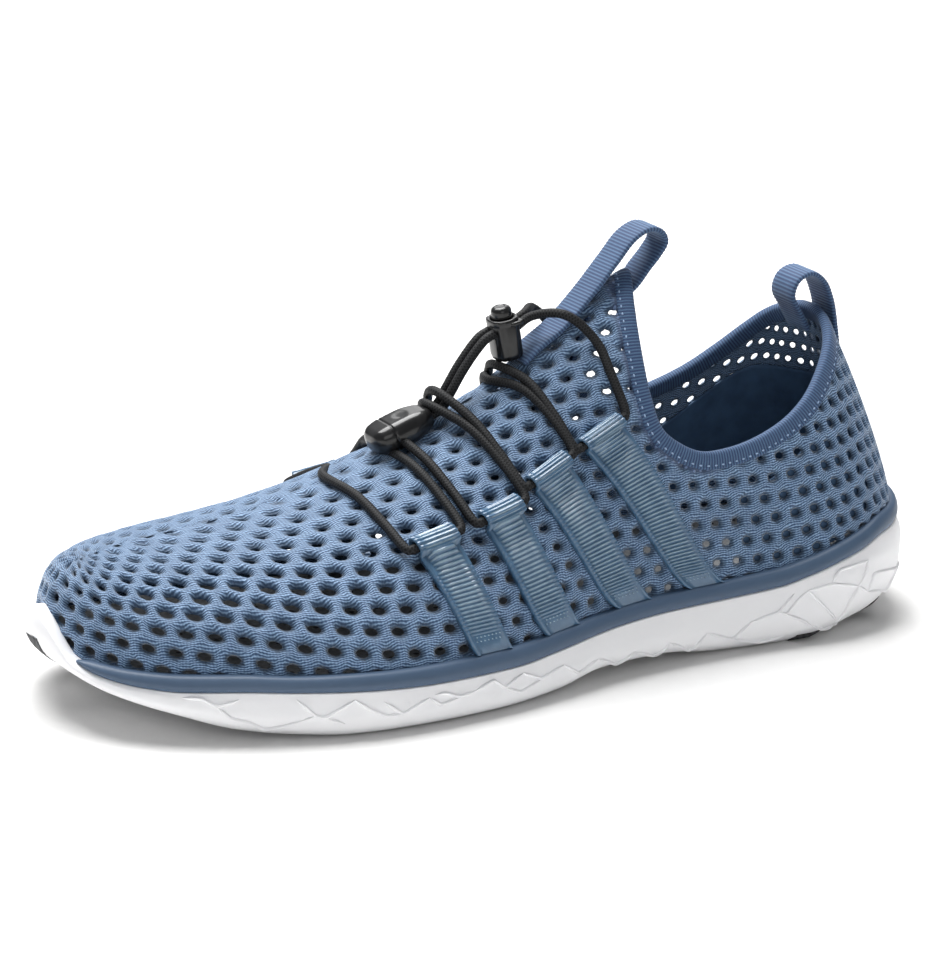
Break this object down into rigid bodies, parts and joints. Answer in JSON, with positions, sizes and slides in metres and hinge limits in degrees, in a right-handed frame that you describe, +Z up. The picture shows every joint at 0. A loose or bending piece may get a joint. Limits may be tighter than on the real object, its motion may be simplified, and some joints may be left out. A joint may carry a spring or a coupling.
{
  "type": "water shoe",
  "caption": "Left low-cut water shoe: perforated knit upper on a drained foam sole, side straps laced with elastic cord, cord lock and pull loops.",
  "frame": {"origin": "on the floor, in the middle of the shoe's length and width", "axes": "+Y towards the heel, so the toe points to -Y; +X towards the outer side of the left foot; +Z up"},
  "size_m": [0.1127, 0.29, 0.1252],
  "materials": {
    "upper_knit": "satin",
    "ribbed_webbing": "matte",
    "rand_rubber": "satin",
    "midsole_foam": "matte",
    "outsole_rubber": "matte",
    "insole_foam": "matte",
    "strap_film": "glossy",
    "lace_cord": "satin",
    "hard_plastic": "satin"
  },
  "bodies": {
    "root": {"midsole": "midsole_foam", "outsole_toe_pad": "outsole_rubber", "outsole_heel_pad": "outsole_rubber", "rand": "rand_rubber", "insole": "insole_foam", "upper": "upper_knit", "collar_binding": "ribbed_webbing", "strap_lateral_1": "strap_film", "strap_medial_1": "strap_film", "strap_lateral_2": "strap_film", "strap_medial_2": "strap_film", "strap_lateral_3": "strap_film", "strap_medial_3": "strap_film", "strap_lateral_4": "strap_film", "strap_medial_4": "strap_film", "lace_front_bar": "lace_cord", "lace_cross_low": "lace_cord", "lace_cross_mid": "lace_cord", "lace_cross_top": "lace_cord", "lace_end_lateral": "lace_cord", "lace_end_medial": "lace_cord", "lace_tail_lateral": "lace_cord", "lace_tail_medial": "lace_cord", "cord_lock_barrel": "hard_plastic", "cord_end_clip": "hard_plastic", "front_pull_loop": "ribbed_webbing", "heel_pull_loop": "ribbed_webbing"},
    "plunger": {"cord_lock_plunger": "hard_plastic"}
  },
  "joints": [
    {"name": "plunger_press", "type": "slide", "parent": "root", "child": "plunger", "axis": [0, 0.1908, -0.9816], "range_m": [0, 0.003], "stiffness_N_per_m": 300}
  ]
}
